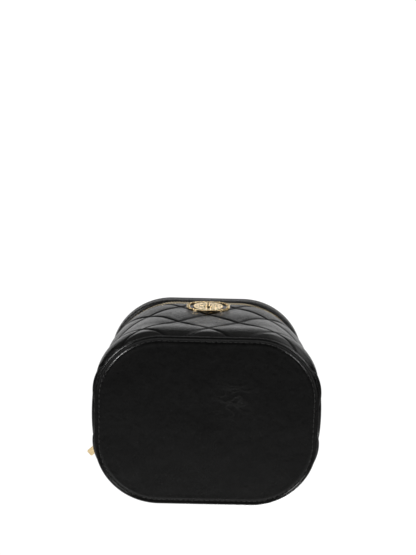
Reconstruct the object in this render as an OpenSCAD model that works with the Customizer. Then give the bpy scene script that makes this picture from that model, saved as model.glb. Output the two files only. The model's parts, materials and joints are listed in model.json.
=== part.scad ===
// Quilted leather jewellery case: smooth base, padded quilted wall, metal zip,
// low hinged lid with a mirror, and a lift-out jewellery tray.
// Millimetres. The origin is the centre of the base on the floor. Front is -Y, lid is up.

/* [Case] */
// Width of the base
base_w = 150; // [135:1:180]
// Depth of the base, front to back
base_d = 119.5; // [112:0.5:140]
// Corner radius of the base
base_r = 43.8; // [36:0.2:48]
// Height of the zip's centre line
zip_z = 96.6; // [88:0.2:130]
// How far the zip stands inside the base outline, at the front and back
zip_inset = 3; // [1:0.5:4]
// The same at the sides
zip_side = 2; // [1:0.5:4]
// How far the side walls bow outwards
side_bow = 1.8; // [0:0.1:3]
// Corner radius of the outline at the zip
zip_r = 50.5; // [44:0.5:52]
// Height over which the wall rolls out above the base
roll_h = 10; // [6:1:20]
// How far the wall's seams stand outside the base outline where it is fullest
wall_bulge = -0.3; // [-1:0.1:1.5]

/* [Quilting] */
// Number of diamonds round the wall
diamonds = 10; // [8:1:13]
// Height of one diamond, point to point
diamond_h = 42; // [34:1:50]
// Height of the lowest stitch crossing on the front centre line
crossing_z = 18.5; // [10:0.5:26]
// How far the wall tucks in where it meets the base
wall_tuck = 3.2; // [1:0.1:4]
// Height of the padding above its seams
puff_h = 2; // [1:0.1:3.6]

/* [Leather and boards] */
// Thickness of the base panel, with its rolled edge
base_t = 2.4; // [1.8:0.1:3.2]
// Distance of the base's stitched groove from its edge
groove_in = 3.2; // [2.6:0.1:5]
// Thickness of the leather at the zip
skin_t = 1.2; // [0.8:0.1:1.6]
// Thickness of the stiffening boards
board_t = 1.6; // [1:0.1:2.2]
// Thickness of the lining with its backing
lining_t = 0.8; // [0.5:0.1:1.2]
// Free gap between parts that are glued or stitched together
glue_gap = 0.05; // [0.02:0.01:0.1]

/* [Zip] */
// Thickness of the zip's tape
tape_t = 0.6; // [0.4:0.05:0.8]
// How far each tape reaches into its wall
tape_in = 8; // [5:0.5:10]
// Pitch of the teeth on one tape
tooth_pitch = 2; // [1.8:0.05:2.4]
// Length of one tooth along the zip
tooth_l = 0.85; // [0.6:0.05:0.9]
// Width of the closed chain
chain_w = 4.4; // [4:0.1:5]
// Thickness of the chain
chain_t = 2.2; // [1.8:0.1:2.4]
// Depth by which the two rows of teeth mesh
mesh_h = 1.3; // [0.9:0.1:1.5]
// Direction from the corner's centre in which the slider rests
slider_a = 138.5; // [134:0.5:150]
// Width of the slider across the zip
slider_w = 7; // [6.4:0.1:8]
// Length of the slider along the zip
slider_l = 9; // [7:0.5:10]
// Thickness of the slider's plates
slider_t = 1; // [0.8:0.1:1.3]
// Free gap round the chain and tapes in the slider
slide_gap = 0.25; // [0.2:0.05:0.35]

/* [Pull] */
// Thickness of the pull link's wire
wire_d = 1.2; // [1:0.1:1.5]
// Length of the link between its two bars
link_l = 9; // [7:0.5:12]
// Width of the link between the middles of its side wires
link_w = 4.6; // [4.2:0.1:6]
// Length of the tab from its eye to its end
tab_l = 26; // [18:0.5:28]
// Width of the tab
tab_w = 5.2; // [4:0.1:6.5]
// Thickness of the tab
tab_t = 1.5; // [1.2:0.1:2]
// Cut of the tab's end corners
tab_cut = 0.6; // [0.4:0.1:1.8]
// How far the pull hangs below level
pull_droop = 4; // [0:1:30]
// Running fit of a bar in its eye, on the radius
pin_fit = 0.08; // [0.04:0.01:0.1]

/* [Lid] */
// Height of the lid's wall from the zip's centre line to its upper edge
lid_h = 12.4; // [11:0.2:18]
// Radius of the piping round the lid
welt_r = 1.3; // [1:0.1:1.6]
// Rise of the lid's padded top
crown_h = 3.6; // [2:0.1:6]
// How far the leather hinge reaches past each end of the straight back
hinge_past = 7.5; // [4:0.5:9]
// Thickness of the leather hinge
hinge_t = 1.2; // [0.8:0.1:1.6]
// Gap at the fold of the leather hinge
fold_gap = 0.6; // [0.5:0.05:1]
// Width of the mirror
mirror_w = 92; // [70:1:100]
// Depth of the mirror
mirror_d = 60; // [44:1:66]
// Thickness of the mirror
mirror_t = 1.5; // [1:0.1:2]
// Width of the leather frame round the mirror
frame_w = 4; // [3:0.5:6]

/* [Tray] */
// Height of the tray
tray_h = 26; // [20:1:32]
// Free gap between the tray and the lining
tray_gap = 0.5; // [0.4:0.1:1]
// Wall of the tray
tray_t = 1.8; // [1.4:0.1:2.4]
// Depth of the tray's top edge below the wall's top edge
tray_drop = 2.8; // [2:0.2:6]
// Thickness of the tray's dividers
divider_t = 1.6; // [1.2:0.1:2.4]
// Width of the ring compartment
ring_box_w = 66; // [54:1:72]
// Depth of the ring compartment
ring_box_d = 48; // [40:1:50]
// Diameter of one ring roll
roll_d = 7.4; // [6:0.2:9]
// Width of the ledge that carries the tray
ledge_w = 4; // [3:0.5:6]
// Height of the ledge that carries the tray
ledge_h = 3; // [2:0.5:5]

/* [Medallion] */
// Width of the medallion
medal_w = 31; // [26:0.5:34]
// Height of the medallion
medal_h = 24; // [20:0.5:28]
// Corner radius of the medallion's rim
medal_r = 10.5; // [8:0.5:11.5]
// Thickness of the medallion
medal_t = 1.3; // [1:0.1:2.4]
// Height of the medallion's centre
medal_z = 74.5; // [64:0.5:80]
// Number of petals
petals = 14; // [10:1:18]

/* [Hidden] */
$fn = 64;

// outline at the zip, which the boards, tapes and lid follow
zip_w = base_w - 2*zip_side;
zip_d = base_d - 2*zip_inset;
corner_x = zip_w/2 - zip_r;
corner_y = zip_d/2 - zip_r;

// layers, as distances inwards from the outline at the zip
tape_out = skin_t + glue_gap;
tape_mid = tape_out + tape_t/2;
board_out = tape_out + tape_t + glue_gap;
lining_out = board_out + board_t + glue_gap;
lining_in = lining_out + lining_t;
tray_out = lining_in + tray_gap;

// heights
edge_gap = 0.3;
pressed = 0.5;
wall_top = zip_z - slider_w/2 - edge_gap;
lid_z0 = zip_z + slider_w/2 + edge_gap;
board_z0 = base_t + glue_gap;
inner_z0 = board_z0 + board_t + glue_gap;
floor_t = 1.5;
tape_z0 = wall_top - tape_in;
root_drop = chain_w/2;
tip_rise = mesh_h/2;
tape_edge = tip_rise;
lid_edge = zip_z + lid_h;
welt_z = lid_edge - welt_r + 0.5;
rim_top = welt_z - welt_r - glue_gap;
lid_board_z0 = rim_top - 0.2;
lid_board_top = lid_board_z0 + board_t;
lid_lining_z0 = lid_board_z0 - glue_gap - lining_t;
tray_top = wall_top - tray_drop;
tray_z0 = tray_top - tray_h;
tray_floor = tray_z0 + tray_t;
pad_t = 1.2;
pad_top = tray_floor + pad_t;
tray_in = tray_out + tray_t;
divider_top = tray_top - 3;
cross_y = ring_box_d - (zip_d/2 - tray_in) + divider_t/2;
roll_gap = 0.25;
roll_h0 = 15;
ribbon_w = 8.4;
ribbon_t = 0.9;
ribbon_l = 10;
ribbon_y = cross_y + divider_t/2 + edge_gap + ribbon_w/2;
mirror_r = 16;
frame_lip = 0.4;
mirror_z0 = lid_lining_z0 - glue_gap - mirror_t;

// the leather hinge: its outer face carries the fold line
strip_y0 = base_d/2 - zip_inset + edge_gap;
hinge_y = strip_y0 + hinge_t + glue_gap;
strip_reach = 9;
hinge_w = 2*(corner_x + hinge_past);
strip_z0 = wall_top - strip_reach + 3;
strip_z1 = lid_edge - 2*welt_r - 0.6;
cover_t = 0.9;
cover_out = 0.45;
cover_a0 = 99;
cover_a1 = 127;

// the slider, as distances outwards from the outline at the zip
chain_out = -tape_mid + chain_t/2;
chain_in = -tape_mid - chain_t/2;
plate_in = chain_out + slide_gap;
plate_out = plate_in + slider_t;
lip_in = -tape_out + slide_gap;
back_out = chain_in - slide_gap;
back_in = back_out - slider_t;
back_lip = -tape_out - tape_t - slide_gap;
path_r = zip_r - tape_mid;
slider_half_a = slider_l/2/path_r*180/PI;
lug_r = wire_d/2 + pin_fit + 0.75;
lug_w = 2;
bar_out = plate_out + wire_d/2 + 0.55;
eye_r = wire_d/2 + pin_fit;
tab_eye_r = eye_r + 0.8;
tab_neck_w = link_w - wire_d - 0.9;
tab_neck_l = 3.6;
link_bend = 0.9;
stop_l = 2.4;
chain_end_a = slider_a - slider_half_a + 1;
upper_start_a = slider_a + slider_half_a + 1.5;

// points round the case and steps to one diamond
steps = 10;
around = diamonds*steps;
row_step = diamond_h/steps;
front_shift = 2.2;
front_share = 0.07;
wall_z0 = base_t + 0.15;
wall_rows = concat([wall_z0, wall_z0 + 2],
  [for (k = [-steps : 3*steps]) let (z = crossing_z + k*row_step)
    if (z > wall_z0 + 3.2 && z < wall_top - 1.6) z], [wall_top]);

// length of a rounded outline
function outline_len(w, d, r) = 2*(w + d) - 8*r + 2*PI*r;
// a point on a corner: x, y and the direction of the outward normal
function corner(cx, cy, r, a) = [cx + r*cos(a), cy + r*sin(a), a];
// point at length s along a rounded outline, from the middle of the back towards -X
function outline_at(w, d, r, s) =
  let (a = w/2 - r, b = d - 2*r, q = PI*r/2)
  s < a ? [-s, d/2, 90] :
  s < a + q ? corner(-a, d/2 - r, r, 90 + (s - a)/q*90) :
  s < a + q + b ? [-w/2, d/2 - r - (s - a - q), 180] :
  s < a + 2*q + b ? corner(-a, r - d/2, r, 180 + (s - a - q - b)/q*90) :
  s < 3*a + 2*q + b ? [s - (2*a + 2*q + b), -d/2, 270] :
  s < 3*a + 3*q + b ? corner(a, r - d/2, r, 270 + (s - 3*a - 2*q - b)/q*90) :
  s < 3*a + 3*q + 2*b ? [w/2, r - d/2 + (s - 3*a - 3*q - b), 360] :
  s < 3*a + 4*q + 2*b ? corner(a, d/2 - r, r, 360 + (s - 3*a - 3*q - 2*b)/q*90) :
  [4*a + 4*q + 2*b - s, d/2, 450];

// a value limited to a range
function clip(v, lo, hi) = min(hi, max(lo, v));
// how far the wall's seams stand outside the straight line from base to zip
function seam_out(z) =
  z < roll_h ? (wall_bulge + wall_tuck)*sqrt(1 - pow(1 - clip((z - wall_z0)/(roll_h - wall_z0), 0, 1), 2)) - wall_tuck
             : wall_bulge*(wall_top - z)/(wall_top - roll_h) - 0.1*(z - roll_h)/(wall_top - roll_h);
// padding between crossing seams; p and q count diamonds along and up the wall
function puff(p, q) = puff_h*sqrt(abs(sin(180*(p + q))*sin(180*(p - q))));
// the padding flattens at the wall's edges, under the hinge and its covers, and under the medallion
function flatten(x, y, z) =
  clip((wall_top - z)/5, 0, 1)*clip((z - wall_z0)/6, 0, 1)
  *(y < 0 ? 1 - (1 - pressed)*clip((1.5 - sqrt(pow(2*x/medal_w, 2) + pow(2*(z - medal_z)/medal_h, 2)))/0.35, 0, 1) : 1)
  *(y > 0 && z > strip_z0 - 6 && abs(x) < zip_w/2 - 16 ? clip((strip_z0 - 1 - z)/5, 0, 1) : 1);
// length round the wall at step i, with diamonds a little narrower at the front
function around_at(len, i) =
  let (v = i/around - 0.5, x = v/front_share)
  len*i/around - front_shift*x*exp(1 - abs(x));
// one point of the quilted wall, i steps round from the middle of the back
function wall_point(i, z) =
  let (t = clip((z - wall_z0)/(wall_top - wall_z0), 0, 1),
       bow = 4*side_bow*sqrt(t)*(1 - sqrt(t)),
       w = base_w + 2*(seam_out(z) - zip_side*t + bow),
       d = base_d + 2*(seam_out(z) - zip_inset*t),
       r = base_r + (zip_r - base_r)*t,
       s = around_at(outline_len(w, d, r), i),
       c = outline_at(w, d, r, s),
       p = i/steps - diamonds/2,
       q = (z - crossing_z)/diamond_h,
       h = puff(p, q)*flatten(c[0], c[1], z))
  [c[0] + h*cos(c[2]), c[1] + h*sin(c[2]), z];
// a ring of points on the straight inside of the wall
function inner_ring(inset, z) =
  let (w = zip_w - 2*inset, d = zip_d - 2*inset, r = zip_r - inset)
  [for (i = [0 : around - 1]) let (c = outline_at(w, d, r, outline_len(w, d, r)*i/around)) [c[0], c[1], z]];
// position and direction on the zip's path at length s from the middle of the front
function zip_at(s) =
  let (w = zip_w - 2*tape_mid, d = zip_d - 2*tape_mid)
  outline_at(w, d, path_r, outline_len(w, d, path_r)/2 + s);
// length along the zip's path from the middle of the front back to direction a
function zip_len(a) = corner_x + 2*corner_y + PI*path_r/2 + PI*path_r*(180 - a)/180;

// a rounded rectangle, drawn inset from the given outline
module rounded(w, d, r, inset = 0) {
  x = w/2 - r;
  y = d/2 - r;
  square([2*x, d - 2*inset], center = true);
  square([w - 2*inset, 2*y], center = true);
  for (sx = [-1, 1], sy = [-1, 1]) translate([sx*x, sy*y]) circle(r - inset, $fn = 96);
}

// a slab that follows the outline at the zip
module zip_slab(inset, z0, h) {
  translate([0, 0, z0]) linear_extrude(h) rounded(zip_w, zip_d, zip_r, inset);
}

// a closed band that follows the outline at the zip
module zip_band(inset, t, z0, h) {
  translate([0, 0, z0]) linear_extrude(h) difference() {
    rounded(zip_w, zip_d, zip_r, inset);
    rounded(zip_w, zip_d, zip_r, inset + t);
  }
}

// sweeps a profile (x outwards from the outline, y up) round a rounded rectangle
module sweep(w, d, r) {
  for (k = [0 : 3]) {
    a = 90*k;
    cx = (k == 0 || k == 3 ? 1 : -1)*(w/2 - r);
    cy = (k < 2 ? 1 : -1)*(d/2 - r);
    translate([cx, cy, 0]) rotate([0, 0, a]) rotate_extrude(angle = 90, $fn = 96)
      translate([r, 0]) children();
    half = k % 2 == 0 ? w/2 : d/2;
    run = k % 2 == 0 ? d - 2*r : w - 2*r;
    rotate([0, 0, a]) translate([half, 0, 0]) rotate([90, 0, 0])
      linear_extrude(run, center = true) children();
  }
}

// sweeps a profile along part of the rear left corner, between two directions
module corner_arc(a0, a1) {
  translate([-corner_x, corner_y, 0]) rotate([0, 0, a0])
    rotate_extrude(angle = a1 - a0, $fn = 120) translate([zip_r, 0]) children();
}

// the same on both rear corners
module rear_arcs(a0, a1) {
  for (m = [0, 1]) mirror([m, 0, 0]) corner_arc(a0, a1) children();
}

// sweeps a profile along the zip, from one end of the leather hinge to the other
module zip_sweep() {
  for (c = [[-1, 1, cover_a0, 180], [-1, -1, 180, 270], [1, -1, 270, 360], [1, 1, 360, 540 - cover_a0]])
    translate([c[0]*corner_x, c[1]*corner_y, 0]) rotate([0, 0, c[2]])
      rotate_extrude(angle = c[3] - c[2], $fn = 96) translate([zip_r, 0]) children();
  for (k = [0, 2, 3]) rotate([0, 0, 90*k]) translate([(k == 3 ? zip_d : zip_w)/2, 0, 0]) rotate([90, 0, 0])
    linear_extrude(2*(k == 3 ? corner_x : corner_y), center = true) children();
}

// ---- body ----

module base_panel() {
  edge_r = base_t/2;
  color("#141414") difference() {
    union() {
      linear_extrude(base_t) rounded(base_w, base_d, base_r, edge_r);
      sweep(base_w, base_d, base_r) translate([-edge_r, edge_r]) circle(edge_r, $fn = 32);
    }
    sweep(base_w, base_d, base_r) translate([-groove_in, 0]) circle(0.45, $fn = 16);
  }
}

module base_board() {
  color("tan") zip_slab(board_out, board_z0, board_t);
}

// one closed mesh: quilted outside, straight inside with a rebate for the zip's tape
module quilted_wall() {
  rebate = tape_out - glue_gap;
  rings = concat(
    [for (z = wall_rows) [for (i = [0 : around - 1]) wall_point(i, z)]],
    [inner_ring(rebate, wall_top), inner_ring(rebate, tape_z0 - 0.5),
     inner_ring(board_out - glue_gap, tape_z0 - 0.5), inner_ring(board_out - glue_gap, wall_z0)]);
  n = len(rings);
  k0 = 2;
  first = round((wall_rows[k0] - crossing_z)/row_step);
  faces = [for (j = [0 : n - 1], i = [0 : around - 1])
    let (i2 = (i + 1) % around, j2 = (j + 1) % n,
         a = j*around + i, b = j*around + i2, c = j2*around + i2, d = j2*around + i,
         u = i - diamonds*steps/2, v = j - k0 + first,
         rising = (u - v + 100*steps) % steps == 0)
    each rising ? [[a, c, b], [a, d, c]] : [[a, d, b], [b, d, c]]];
  color("#1c1c1c") polyhedron(points = [for (ring = rings) each ring], faces = faces, convexity = 6);
}

module body_board() {
  color("tan") zip_band(board_out, board_t, inner_z0, wall_top - inner_z0);
}

module body_lining() {
  color("#5a1420") zip_band(lining_out, lining_t, inner_z0, wall_top - inner_z0);
}

module floor_lining() {
  color("#5a1420") zip_slab(lining_in + glue_gap, inner_z0, floor_t);
}

// the ledge that carries the tray
module tray_ledge() {
  color("#4c101b") zip_band(lining_in + glue_gap, ledge_w, tray_z0 - edge_gap - ledge_h, ledge_h);
}

// ---- zip ----

module lower_zip_tape() {
  color("#101010") zip_sweep() translate([-tape_out - tape_t, tape_z0])
    square([tape_t, zip_z - tape_edge - tape_z0]);
}

module upper_zip_tape() {
  top = lid_board_z0 - 0.3;
  color("#101010") zip_sweep() translate([-tape_out - tape_t, zip_z + tape_edge])
    square([tape_t, top - zip_z - tape_edge]);
}

// one tooth: two legs clasp the tape's edge, and the head narrows to its tip
module tooth() {
  half = chain_t/2;
  leg = tape_t/2 + 0.05;
  shoulder = tip_rise - mesh_h;
  rotate([90, 0, 0]) linear_extrude(tooth_l, center = true)
    polygon([[leg, -root_drop], [half, -root_drop + 0.3], [half, shoulder], [half*0.62, tip_rise],
             [-half*0.62, tip_rise], [-half, shoulder], [-half, -root_drop + 0.3], [-leg, -root_drop],
             [-leg, -tape_edge + 0.05], [leg, -tape_edge + 0.05]]);
}

// a row of teeth from s0 to s1 along the zip; up is 1 below the chain's middle and -1 above it
module teeth(s0, s1, shift, up) {
  for (k = [ceil((s0 - shift)/tooth_pitch) : floor((s1 - shift)/tooth_pitch)]) {
    c = zip_at(k*tooth_pitch + shift);
    translate([c[0], c[1], zip_z]) rotate([0, 0, c[2]]) rotate([up < 0 ? 180 : 0, 0, 0]) tooth();
  }
}

module lower_zip_teeth() {
  color("#d8b878") teeth(-zip_len(chain_end_a), zip_len(chain_end_a), 0, 1);
}

module upper_zip_teeth() {
  color("#d8b878") teeth(-zip_len(upper_start_a), zip_len(chain_end_a), tooth_pitch/2, -1);
}

// a clamp over the lower tape's edge, past the last tooth at each end
module zip_end_stops() {
  span = stop_l/path_r*180/PI;
  a1 = chain_end_a - 1.6;
  half = chain_t/2;
  leg = tape_t/2 + glue_gap;
  color("#d8b878") rear_arcs(a1 - span, a1) translate([-tape_mid, zip_z - tape_edge])
    polygon([[leg, tape_edge - root_drop], [half, tape_edge - root_drop], [half, 0.4], [-half, 0.4],
             [-half, tape_edge - root_drop], [-leg, tape_edge - root_drop], [-leg, glue_gap], [leg, glue_gap]]);
}

// leather sewn over the bare ends of the tapes, beside the hinge
module zip_end_covers() {
  color("#161616") rear_arcs(cover_a0, cover_a1)
    translate([cover_out, strip_z0]) square([cover_t, zip_z - fold_gap/2 - strip_z0]);
}

module lid_end_covers() {
  color("#161616") rear_arcs(cover_a0, cover_a1)
    translate([cover_out, zip_z + fold_gap/2]) square([cover_t, strip_z1 - zip_z - fold_gap/2]);
}

module hinge_half(z0, z1) {
  color("#161616") translate([-hinge_w/2, strip_y0, z0]) cube([hinge_w, hinge_t, z1 - z0]);
}

module hinge_strip_lower() {
  hinge_half(strip_z0, zip_z - fold_gap/2);
}

module hinge_strip_upper() {
  hinge_half(zip_z + fold_gap/2, strip_z1);
}

// front plate with its lug, and back plate; both carry a lip below the lower teeth
module zip_slider() {
  z0 = zip_z - slider_w/2;
  lip_h = slider_w/2 - chain_w/2 - edge_gap;
  a0 = slider_a - slider_half_a;
  a1 = slider_a + slider_half_a;
  color("#d8b878") {
    difference() {
      union() {
        corner_arc(a0, a1) {
          translate([plate_in, z0]) square([slider_t, slider_w]);
        }
        corner_arc(a0, a1) translate([lip_in, z0]) square([plate_in - lip_in + 0.1, lip_h]);
        at_slider() rotate([90, 0, 0]) cylinder(r = lug_r, h = lug_w, center = true);
        at_slider() translate([-bar_out + plate_in + 0.2, -lug_w/2, -lug_r])
          cube([bar_out - plate_in - 0.2, lug_w, 2*lug_r]);
      }
      at_slider() rotate([90, 0, 0]) cylinder(r = eye_r, h = 3*lug_w, center = true);
    }
    corner_arc(a0, a1) translate([back_in, z0]) square([slider_t, slider_w]);
    corner_arc(a0, a1) translate([back_out - 0.1, z0]) square([back_lip - back_out + 0.1, lip_h]);
  }
}

// places children at the lug's bar, with X outwards from the case
module at_slider() {
  translate([-corner_x, corner_y, zip_z]) rotate([0, 0, slider_a]) translate([zip_r + bar_out, 0, 0]) children();
}

// ---- pull ----

module pull_link() {
  color("#d8b878") at_slider() rotate([0, pull_droop, 0]) translate([link_l/2, 0, 0])
    sweep(link_l, link_w, link_bend) circle(d = wire_d, $fn = 32);
}

module pull_tab() {
  x0 = tab_neck_l;
  x1 = tab_l;
  w = tab_w/2;
  color("#d8b878") at_slider() rotate([0, pull_droop, 0]) translate([link_l, 0, 0]) difference() {
    union() {
      rotate([90, 0, 0]) cylinder(r = tab_eye_r, h = tab_neck_w, center = true);
      translate([0, -tab_neck_w/2, -tab_t/2]) cube([x0 + 0.5, tab_neck_w, tab_t]);
      translate([0, 0, -tab_t/2]) linear_extrude(tab_t)
        polygon([[x0, -w + tab_cut], [x0 + tab_cut, -w], [x1 - tab_cut, -w], [x1, -w + tab_cut],
                 [x1, w - tab_cut], [x1 - tab_cut, w], [x0 + tab_cut, w], [x0, w - tab_cut]]);
    }
    rotate([90, 0, 0]) cylinder(r = eye_r, h = 2*tab_w, center = true);
  }
}

// ---- medallion ----

// a medallion ring of the given inset and width
module medal_ring(inset, t) {
  difference() {
    rounded(medal_w, medal_h, medal_r, inset);
    rounded(medal_w, medal_h, medal_r, inset + t);
  }
}

// stands children up against the crown of the front wall
module on_front() {
  translate([0, -base_d/2 + zip_inset*0.75 - pressed*puff_h - edge_gap - 0.2, medal_z]) rotate([90, 0, 0]) children();
}

// openwork rosette: rim, petals between rim and hub, and a domed hub
module medallion() {
  rim_t = 2.2;
  hub_r = 4.2;
  petal_w = 1.1;
  color("#d8b878") on_front() {
    linear_extrude(medal_t) difference() {
      union() {
        medal_ring(0, rim_t);
        circle(hub_r);
        for (k = [0 : petals - 1]) rotate([0, 0, 360*k/petals])
          translate([0, -petal_w/2]) square([medal_h/2 - rim_t/2, petal_w]);
        for (k = [0 : petals - 1]) rotate([0, 0, 360*(k + 0.5)/petals]) translate([medal_h/2 - rim_t - 1.1, 0])
          difference() {
            circle(1.9, $fn = 32);
            circle(0.9, $fn = 32);
          }
      }
      circle(1.6, $fn = 32);
    }
    translate([0, 0, medal_t - 0.2]) rotate_extrude() translate([2.6, 0]) circle(0.9, $fn = 24);
  }
}

// a row of beads on the medallion's rim
module medallion_beads() {
  bead_d = 1.3;
  run = outline_len(medal_w - 2.2, medal_h - 2.2, medal_r - 1.1);
  beads = floor(run/(bead_d + 0.35));
  color("#e0c488") on_front() for (k = [0 : beads - 1]) {
    c = outline_at(medal_w - 2.2, medal_h - 2.2, medal_r - 1.1, run*k/beads);
    translate([c[0], c[1], medal_t + 0.02]) intersection() {
      sphere(d = bead_d, $fn = 20);
      translate([-bead_d, -bead_d, 0]) cube(2*bead_d);
    }
  }
}

// ---- lid ----

module lid_rim() {
  color("#2a2a2a") zip_band(0, skin_t, lid_z0, rim_top - lid_z0);
}

module lid_rim_board() {
  color("tan") zip_band(board_out, board_t - 0.2, lid_z0 + 0.4, lid_board_z0 - glue_gap - lid_z0 - 0.4);
}

module lid_rim_lining() {
  color("#5a1420") zip_band(lining_out, lining_t, lid_z0, lid_lining_z0 - glue_gap - lid_z0);
}

module lid_board() {
  color("tan") zip_slab(2*welt_r + glue_gap, lid_board_z0, board_t);
}

module lid_lining() {
  color("#5a1420") zip_slab(lining_out, lid_lining_z0, lining_t);
}

module lid_piping() {
  color("#161616") sweep(zip_w, zip_d, zip_r) translate([-welt_r, welt_z]) circle(welt_r, $fn = 24);
}

// padded leather top: rings of the outline drawn in towards a crowned middle
module lid_top() {
  z0 = lid_board_top + glue_gap;
  edge = 2*welt_r + 0.1;
  n = 72;
  rows = 8;
  top_ring = function (f) let (w = (zip_w - 2*edge), d = (zip_d - 2*edge), r = zip_r - edge)
    [for (i = [0 : n - 1]) let (c = outline_at(w, d, r, outline_len(w, d, r)*i/n))
      [c[0]*cos(90*f), c[1]*cos(90*f), z0 + 0.8 + crown_h*pow(sin(90*f), 0.7)]];
  base_ring = [for (p = top_ring(0)) [p[0], p[1], z0]];
  rings = concat([base_ring], [for (j = [0 : rows - 1]) top_ring(j/rows)]);
  last = len(rings)*n;
  points = concat([for (ring = rings) each ring], [[0, 0, z0 + 0.8 + crown_h], [0, 0, z0]]);
  faces = concat(
    [for (i = [0 : n - 1]) [i, (i + 1) % n, last + 1]],
    [for (j = [0 : len(rings) - 2], i = [0 : n - 1]) let (i2 = (i + 1) % n)
      each [[j*n + i, (j + 1)*n + i, (j + 1)*n + i2], [j*n + i, (j + 1)*n + i2, j*n + i2]]],
    [for (i = [0 : n - 1]) [last - n + i, last, last - n + (i + 1) % n]]);
  color("#1c1c1c") polyhedron(points = points, faces = faces, convexity = 4);
}

module mirror_outline(grow) {
  rounded(mirror_w + 2*grow, mirror_d + 2*grow, mirror_r + grow);
}

module mirror_glass() {
  color("silver") translate([0, 0, mirror_z0]) linear_extrude(mirror_t) mirror_outline(0);
}

module mirror_frame() {
  color("#141414") translate([0, 0, mirror_z0 - frame_lip]) linear_extrude(mirror_t + frame_lip) difference() {
    mirror_outline(frame_w);
    mirror_outline(glue_gap);
  }
}

// ---- tray ----

module tray_shell() {
  color("#3a0c14") difference() {
    zip_slab(tray_out, tray_z0, tray_h);
    zip_slab(tray_in, tray_floor, tray_h);
  }
}

module tray_floor_pad() {
  color("#6a1a28") zip_slab(tray_in + glue_gap, tray_floor, pad_t);
}

// one wall across the tray, cut to the tray's inside
module divider(x, y, w, d) {
  intersection() {
    zip_slab(tray_in + glue_gap, pad_top + glue_gap, divider_top - pad_top - glue_gap);
    translate([x - w/2, y - d/2, pad_top]) cube([w, d, tray_h]);
  }
}

// a cross wall, two walls beside the ring rolls and one behind the cross wall
module tray_dividers() {
  color("#4c101b") {
    divider(0, cross_y, 2*zip_w, divider_t);
    for (s = [-1, 1]) divider(s*(ring_box_w + divider_t)/2, cross_y - zip_d/2, divider_t, zip_d);
    divider(0, cross_y + zip_d/2, divider_t, zip_d);
  }
}

// loaf-shaped rolls, side by side; rings are held between them
module ring_rolls() {
  run = ring_box_w - 2*roll_gap;
  back = cross_y - divider_t/2 - roll_gap;
  front = -sqrt(pow(zip_r - tray_in, 2) - pow(ring_box_w/2 - corner_x, 2)) - corner_y + roll_gap;
  rolls = floor((back - front)/(roll_d + roll_gap));
  pitch = (back - front)/rolls;
  color("#6a1a28") for (k = [0 : rolls - 1])
    translate([-run/2, back - pitch*(k + 0.5), pad_top + glue_gap]) rotate([90, 0, 90]) linear_extrude(run) {
      translate([-roll_d/2, 0]) square([roll_d, roll_h0 - roll_d/2]);
      translate([0, roll_h0 - roll_d/2]) circle(d = roll_d, $fn = 32);
    }
}

// ribbon tongues on the straight part of the side walls, for lifting the tray
module tray_ribbons() {
  r = ribbon_w/2;
  color("#141414") for (s = [-1, 1]) intersection() {
    zip_slab(tray_in + glue_gap, tray_floor, 2*tray_h);
    translate([s*(zip_w/2 - tray_in - glue_gap - ribbon_t/2), ribbon_y, 0]) rotate([90, 0, 90])
      linear_extrude(ribbon_t, center = true) {
        translate([-r, divider_top - ribbon_l]) square([ribbon_w, ribbon_l + tray_top + 2 - r - divider_top]);
        translate([0, tray_top + 2 - r]) circle(r, $fn = 48);
      }
  }
}

base_panel();
base_board();
quilted_wall();
body_board();
body_lining();
floor_lining();
lower_zip_tape();
lower_zip_teeth();
zip_end_stops();
zip_end_covers();
hinge_strip_lower();
medallion();
medallion_beads();
tray_ledge();
zip_slider();
pull_link();
pull_tab();
lid_rim();
lid_rim_board();
lid_board();
lid_top();
lid_piping();
lid_rim_lining();
lid_lining();
mirror_glass();
mirror_frame();
upper_zip_tape();
upper_zip_teeth();
lid_end_covers();
hinge_strip_upper();
tray_shell();
tray_floor_pad();
tray_dividers();
ring_rolls();
tray_ribbons();
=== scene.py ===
"""Looks of the zipped leather jewellery case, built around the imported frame."""
import json
import math

import bpy
import numpy as np
from mathutils import Matrix, Vector

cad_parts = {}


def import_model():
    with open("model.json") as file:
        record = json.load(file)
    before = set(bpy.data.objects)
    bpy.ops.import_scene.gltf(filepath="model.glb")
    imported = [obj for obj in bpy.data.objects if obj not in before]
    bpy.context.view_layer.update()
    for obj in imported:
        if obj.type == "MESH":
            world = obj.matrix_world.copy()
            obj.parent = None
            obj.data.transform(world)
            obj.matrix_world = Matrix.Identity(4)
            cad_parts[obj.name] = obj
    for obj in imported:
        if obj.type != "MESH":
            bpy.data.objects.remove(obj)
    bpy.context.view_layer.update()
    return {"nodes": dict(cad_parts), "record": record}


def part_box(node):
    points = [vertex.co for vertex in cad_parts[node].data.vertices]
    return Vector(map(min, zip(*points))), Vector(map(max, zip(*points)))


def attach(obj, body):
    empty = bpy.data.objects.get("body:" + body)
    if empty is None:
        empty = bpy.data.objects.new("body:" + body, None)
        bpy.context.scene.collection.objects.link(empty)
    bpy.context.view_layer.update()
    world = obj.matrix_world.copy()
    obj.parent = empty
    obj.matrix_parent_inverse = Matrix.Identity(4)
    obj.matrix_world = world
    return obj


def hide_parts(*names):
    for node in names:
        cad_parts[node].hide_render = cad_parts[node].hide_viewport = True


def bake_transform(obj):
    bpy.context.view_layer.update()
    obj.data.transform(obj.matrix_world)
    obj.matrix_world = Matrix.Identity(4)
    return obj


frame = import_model()
scene = bpy.context.scene
K = 0.001  # metres in a millimetre: pieces are drawn in millimetres, materials and lights in metres


def node_box(name):
    """A CAD node's lowest corner, highest corner and size, in mm to two places."""
    low, high = ([round(v/K, 2) for v in corner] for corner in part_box(name))
    return low, high, [b - a for a, b in zip(low, high)]


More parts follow.
